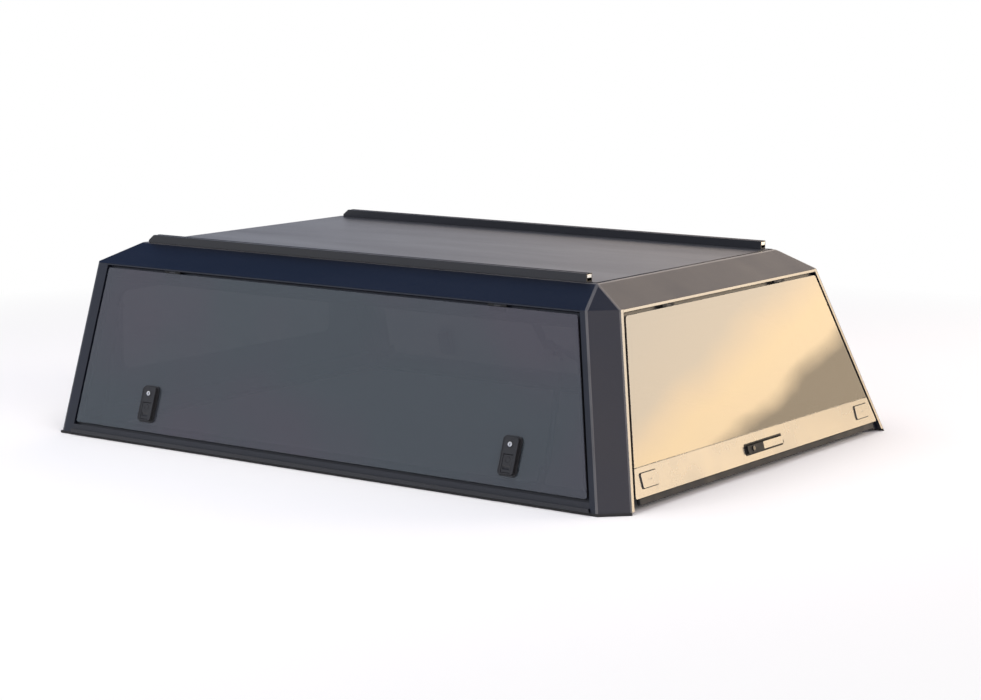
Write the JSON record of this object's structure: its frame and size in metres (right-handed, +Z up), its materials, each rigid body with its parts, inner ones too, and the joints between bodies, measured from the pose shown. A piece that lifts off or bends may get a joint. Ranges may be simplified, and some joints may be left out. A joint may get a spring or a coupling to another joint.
{
  "type": "pickup truck canopy",
  "caption": "Hard canopy for a pickup bed: folded sheet roof with rails, leaning tinted glass side doors and a glass rear door, each lifting on gas struts.",
  "frame": {"origin": "middle of the base, level with the underside of the base seal", "axes": "+Y to the cab, -Y to the rear door, +X to the right of the vehicle, +Z up"},
  "size_m": [1.675, 2.159, 0.626],
  "materials": {
    "shell_paint": "satin textured powder coat",
    "rail_paint": "satin black",
    "strip_paint": "gloss dark paint",
    "tinted_glass": "tinted",
    "rear_glass": "tinted",
    "rubber": "matt",
    "black_fittings": "satin",
    "strut_rod": "polished"
  },
  "bodies": {
    "canopy": {"roof_panel": "shell_paint", "left_roof_rail": "rail_paint", "right_roof_rail": "rail_paint", "roof_bows": "shell_paint", "left_rear_post": "shell_paint", "right_rear_post": "shell_paint", "left_front_post": "shell_paint", "right_front_post": "shell_paint", "left_header": "shell_paint", "right_header": "shell_paint", "rear_header": "shell_paint", "front_header": "shell_paint", "left_sill": "shell_paint", "right_sill": "shell_paint", "front_sill": "shell_paint", "front_wall": "shell_paint", "front_window_rubber": "rubber", "front_window_glass": "tinted_glass", "left_base_seal": "rubber", "right_base_seal": "rubber", "front_base_seal": "rubber", "left_door_seal": "rubber", "right_door_seal": "rubber", "rear_door_seal": "rubber", "left_fixed_hinges": "black_fittings", "right_fixed_hinges": "black_fittings", "rear_fixed_hinges": "black_fittings", "left_strut_brackets": "black_fittings", "right_strut_brackets": "black_fittings", "left_strut_hanger": "black_fittings", "right_strut_hanger": "black_fittings"},
    "left_door": {"left_door_glass": "tinted_glass", "left_door_fittings": "black_fittings"},
    "right_door": {"right_door_glass": "tinted_glass", "right_door_fittings": "black_fittings"},
    "rear_door": {"rear_door_glass": "rear_glass", "rear_door_strip": "strip_paint", "rear_door_sweep": "rubber", "rear_door_fittings": "black_fittings", "rear_handle_pan": "black_fittings", "rear_strip_covers": "strip_paint"},
    "left_front_paddle": {"left_front_paddle": "black_fittings"},
    "left_rear_paddle": {"left_rear_paddle": "black_fittings"},
    "right_front_paddle": {"right_front_paddle": "black_fittings"},
    "right_rear_paddle": {"right_rear_paddle": "black_fittings"},
    "rear_handle_lever": {"rear_handle_lever": "strip_paint"},
    "left_front_barrel": {"left_front_barrel": "black_fittings"},
    "left_front_rod": {"left_front_rod": "strut_rod"},
    "left_rear_barrel": {"left_rear_barrel": "black_fittings"},
    "left_rear_rod": {"left_rear_rod": "strut_rod"},
    "right_front_barrel": {"right_front_barrel": "black_fittings"},
    "right_front_rod": {"right_front_rod": "strut_rod"},
    "right_rear_barrel": {"right_rear_barrel": "black_fittings"},
    "right_rear_rod": {"right_rear_rod": "strut_rod"},
    "rear_left_barrel": {"rear_left_barrel": "black_fittings"},
    "rear_left_rod": {"rear_left_rod": "strut_rod"},
    "rear_right_barrel": {"rear_right_barrel": "black_fittings"},
    "rear_right_rod": {"rear_right_rod": "strut_rod"}
  },
  "joints": [
    {"name": "left_door_hinge", "type": "hinge", "parent": "canopy", "child": "left_door", "pos_m": [-0.64963, 0, 0.53068], "axis": [0, 1, 0], "range_deg": [0, 75]},
    {"name": "right_door_hinge", "type": "hinge", "parent": "canopy", "child": "right_door", "pos_m": [0.64963, 0, 0.53068], "axis": [0, -1, 0], "range_deg": [0, 75]},
    {"name": "rear_door_hinge", "type": "hinge", "parent": "canopy", "child": "rear_door", "pos_m": [0, -0.91862, 0.52587], "axis": [-1, 0, 0], "range_deg": [0, 75]},
    {"name": "rear_handle_hinge", "type": "hinge", "parent": "rear_door", "child": "rear_handle_lever", "pos_m": [0, -1.06524, 0.06793], "axis": [1, 0, 0], "range_deg": [0, 35], "stiffness_Nm_per_rad": 0.15, "springref_deg": -11.46},
    {"name": "left_front_paddle_hinge", "type": "hinge", "parent": "left_door", "child": "left_front_paddle", "pos_m": [-0.80139, 0.717, 0.12831], "axis": [0, 1, 0], "range_deg": [0, 40], "stiffness_Nm_per_rad": 0.08, "springref_deg": -11.46},
    {"name": "right_front_paddle_hinge", "type": "hinge", "parent": "right_door", "child": "right_front_paddle", "pos_m": [0.80139, 0.717, 0.12831], "axis": [0, -1, 0], "range_deg": [0, 40], "stiffness_Nm_per_rad": 0.08, "springref_deg": -11.46},
    {"name": "left_rear_paddle_hinge", "type": "hinge", "parent": "left_door", "child": "left_rear_paddle", "pos_m": [-0.80139, -0.688, 0.12831], "axis": [0, 1, 0], "range_deg": [0, 40], "stiffness_Nm_per_rad": 0.08, "springref_deg": -11.46},
    {"name": "right_rear_paddle_hinge", "type": "hinge", "parent": "right_door", "child": "right_rear_paddle", "pos_m": [0.80139, -0.688, 0.12831], "axis": [0, -1, 0], "range_deg": [0, 40], "stiffness_Nm_per_rad": 0.08, "springref_deg": -11.46},
    {"name": "left_front_barrel_hinge", "type": "hinge", "parent": "canopy", "child": "left_front_barrel", "pos_m": [-0.74108, 0.958, 0.08233], "axis": [0, -1, 0], "range_deg": [0, 17.41]},
    {"name": "left_front_rod_slide", "type": "slide", "parent": "left_front_barrel", "child": "left_front_rod", "axis": [0.2309, 0, 0.973], "range_m": [0, 0.09651]},
    {"name": "right_front_barrel_hinge", "type": "hinge", "parent": "canopy", "child": "right_front_barrel", "pos_m": [0.74108, 0.958, 0.08233], "axis": [0, 1, 0], "range_deg": [0, 17.41]},
    {"name": "right_front_rod_slide", "type": "slide", "parent": "right_front_barrel", "child": "right_front_rod", "axis": [-0.2309, 0, 0.973], "range_m": [0, 0.09651]},
    {"name": "left_rear_barrel_hinge", "type": "hinge", "parent": "canopy", "child": "left_rear_barrel", "pos_m": [-0.74108, -0.77539, 0.08233], "axis": [0, -1, 0], "range_deg": [0, 17.41]},
    {"name": "left_rear_rod_slide", "type": "slide", "parent": "left_rear_barrel", "child": "left_rear_rod", "axis": [0.2309, 0, 0.973], "range_m": [0, 0.09651]},
    {"name": "right_rear_barrel_hinge", "type": "hinge", "parent": "canopy", "child": "right_rear_barrel", "pos_m": [0.74108, -0.77539, 0.08233], "axis": [0, 1, 0], "range_deg": [0, 17.41]},
    {"name": "right_rear_rod_slide", "type": "slide", "parent": "right_rear_barrel", "child": "right_rear_rod", "axis": [-0.2309, 0, 0.973], "range_m": [0, 0.09651]},
    {"name": "rear_left_barrel_hinge", "type": "hinge", "parent": "canopy", "child": "rear_left_barrel", "pos_m": [-0.54006, -0.65206, 0.41406], "axis": [-1, 0, 0], "range_deg": [0, 32.49]},
    {"name": "rear_left_rod_slide", "type": "slide", "parent": "rear_left_barrel", "child": "rear_left_rod", "axis": [0, -0.9338, -0.3579], "range_m": [0, 0.17495]},
    {"name": "rear_right_barrel_hinge", "type": "hinge", "parent": "canopy", "child": "rear_right_barrel", "pos_m": [0.54006, -0.65206, 0.41406], "axis": [-1, 0, 0], "range_deg": [0, 32.49]},
    {"name": "rear_right_rod_slide", "type": "slide", "parent": "rear_right_barrel", "child": "rear_right_rod", "axis": [0, -0.9338, -0.3579], "range_m": [0, 0.17495]}
  ],
  "couplings": [
    {"joint": "left_front_barrel_hinge", "follows": "left_door_hinge", "ratio": 0.23139},
    {"joint": "left_front_rod_slide", "follows": "left_door_hinge", "m_per_rad": 0.073348},
    {"joint": "right_front_barrel_hinge", "follows": "right_door_hinge", "ratio": 0.23139},
    {"joint": "right_front_rod_slide", "follows": "right_door_hinge", "m_per_rad": 0.073348},
    {"joint": "left_rear_barrel_hinge", "follows": "left_door_hinge", "ratio": 0.23139},
    {"joint": "left_rear_rod_slide", "follows": "left_door_hinge", "m_per_rad": 0.073348},
    {"joint": "right_rear_barrel_hinge", "follows": "right_door_hinge", "ratio": 0.23139},
    {"joint": "right_rear_rod_slide", "follows": "right_door_hinge", "m_per_rad": 0.073348},
    {"joint": "rear_left_barrel_hinge", "follows": "rear_door_hinge", "ratio": 0.43256},
    {"joint": "rear_left_rod_slide", "follows": "rear_door_hinge", "m_per_rad": 0.13327},
    {"joint": "rear_right_barrel_hinge", "follows": "rear_door_hinge", "ratio": 0.43256},
    {"joint": "rear_right_rod_slide", "follows": "rear_door_hinge", "m_per_rad": 0.13327}
  ]
}
